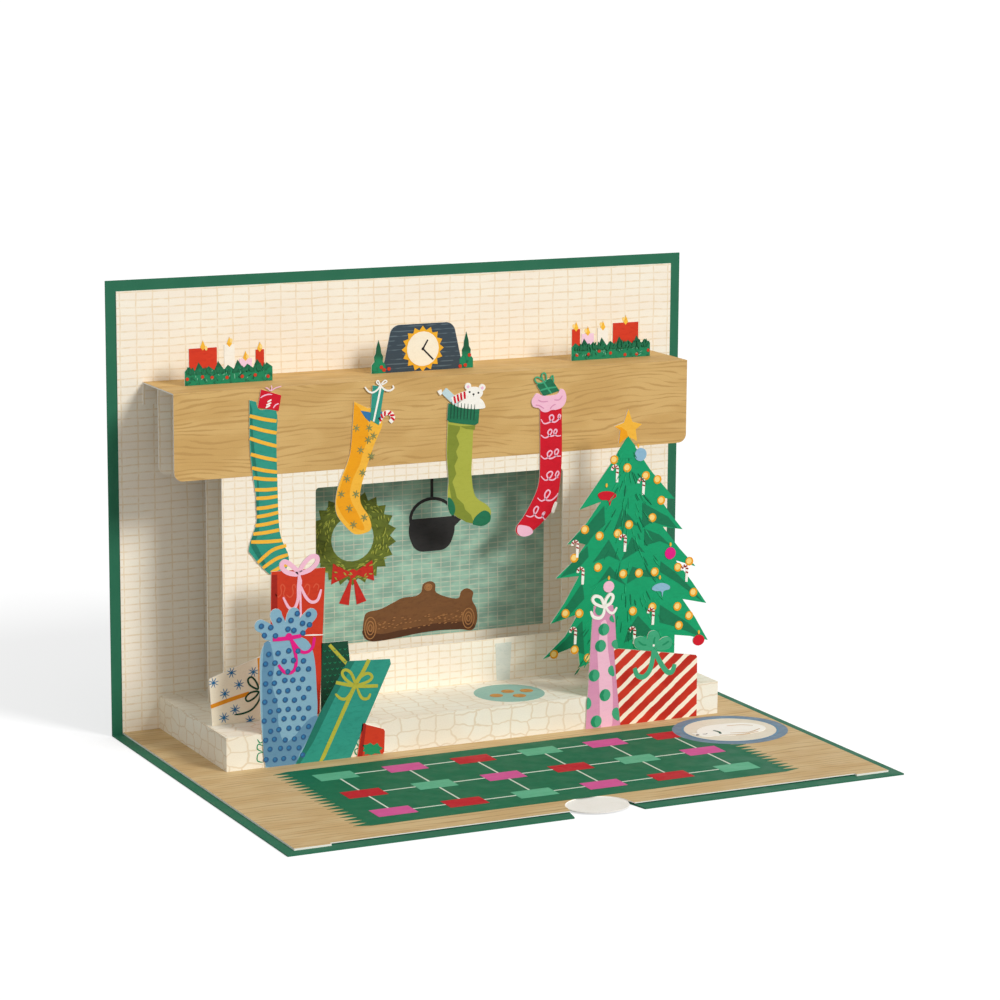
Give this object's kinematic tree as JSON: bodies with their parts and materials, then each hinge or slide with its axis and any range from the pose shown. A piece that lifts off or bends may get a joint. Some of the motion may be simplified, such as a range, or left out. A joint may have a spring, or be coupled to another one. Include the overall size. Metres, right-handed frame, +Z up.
{
  "type": "pop-up greeting card",
  "caption": "Folded greeting card standing open, with a pop-up paper fireplace, mantel, stockings, gifts and tree inside.",
  "frame": {"origin": "bottom centre of the open card's box: the middle of its width and depth, on the surface it stands on", "axes": "+X to the card's right, +Y to the standing leaf at the back, +Z up"},
  "size_m": [0.1778, 0.127, 0.127],
  "materials": {
    "cover_card": "dark green printed card, white core at its edges",
    "brick_paper": "matt paper printed as pale bricks",
    "floor_paper": "matt paper printed as floor boards",
    "white_paper": "plain white matt card",
    "stone_paper": "matt paper printed as pale stone",
    "wood_print": "printed wood grain",
    "leaf_print": "printed green",
    "red_print": "printed red",
    "white_print": "printed off-white",
    "pink_print": "printed pink",
    "gold_print": "printed gold",
    "slate_print": "printed slate grey",
    "black_print": "printed black",
    "tile_print": "printed as grey-green tiles",
    "olive_print": "printed olive",
    "bark_print": "printed bark brown",
    "teal_print": "printed teal",
    "lime_print": "printed lime green",
    "crimson_print": "printed crimson",
    "tree_print": "printed green",
    "blue_print": "printed pale blue",
    "light_green_print": "printed light green",
    "rug_print": "printed dark green",
    "magenta_print": "printed deep pink",
    "slate_blue_print": "printed slate blue",
    "pale_teal_print": "printed pale teal",
    "biscuit_print": "printed biscuit brown"
  },
  "bodies": {
    "root": {"cover": "cover_card", "wall_page": "brick_paper", "floor_page": "floor_paper", "note_card": "white_paper", "hearth": "stone_paper", "mantel_front": "brick_paper", "mid_panel": "brick_paper", "mantel_wood": "wood_print", "garland_leaves": "leaf_print", "candles_red": "red_print", "candles_white": "white_print", "candles_pink": "pink_print", "candle_flames": "gold_print", "clock_case": "slate_print", "clock_rim": "gold_print", "clock_dial": "white_print", "clock_hands": "black_print", "firebox_tiles": "tile_print", "wreath": "olive_print", "wreath_bow": "red_print", "kettle": "black_print", "log": "bark_print", "milk_glass": "white_print", "stocking_striped": "teal_print", "stocking_starred": "gold_print", "stocking_ribbed": "lime_print", "stocking_curled": "crimson_print", "stocking_stripes": "gold_print", "stocking_gifts": "crimson_print", "stocking_green_cuff": "leaf_print", "stocking_pink_cuff": "pink_print", "stocking_toy": "white_print", "tree": "tree_print", "tree_gold": "gold_print", "tree_red": "crimson_print", "tree_blue": "blue_print", "tree_pink": "pink_print", "gifts_back": "white_print", "gift_tall": "red_print", "gift_dark": "leaf_print", "ribbons_back": "pink_print", "gifts_front_left": "blue_print", "gift_leaning": "teal_print", "gift_small": "red_print", "ribbons_front_left": "olive_print", "gifts_front_right": "white_print", "gift_bottle": "pink_print", "gift_stripes": "red_print", "ribbons_front_right": "light_green_print", "rug": "rug_print", "rug_blocks_pink": "magenta_print", "rug_blocks_red": "crimson_print", "rug_blocks_green": "light_green_print", "rug_lines": "white_print", "pet_bed": "slate_blue_print", "pet": "white_print", "plate": "pale_teal_print", "cookies": "biscuit_print"}
  },
  "joints": []
}
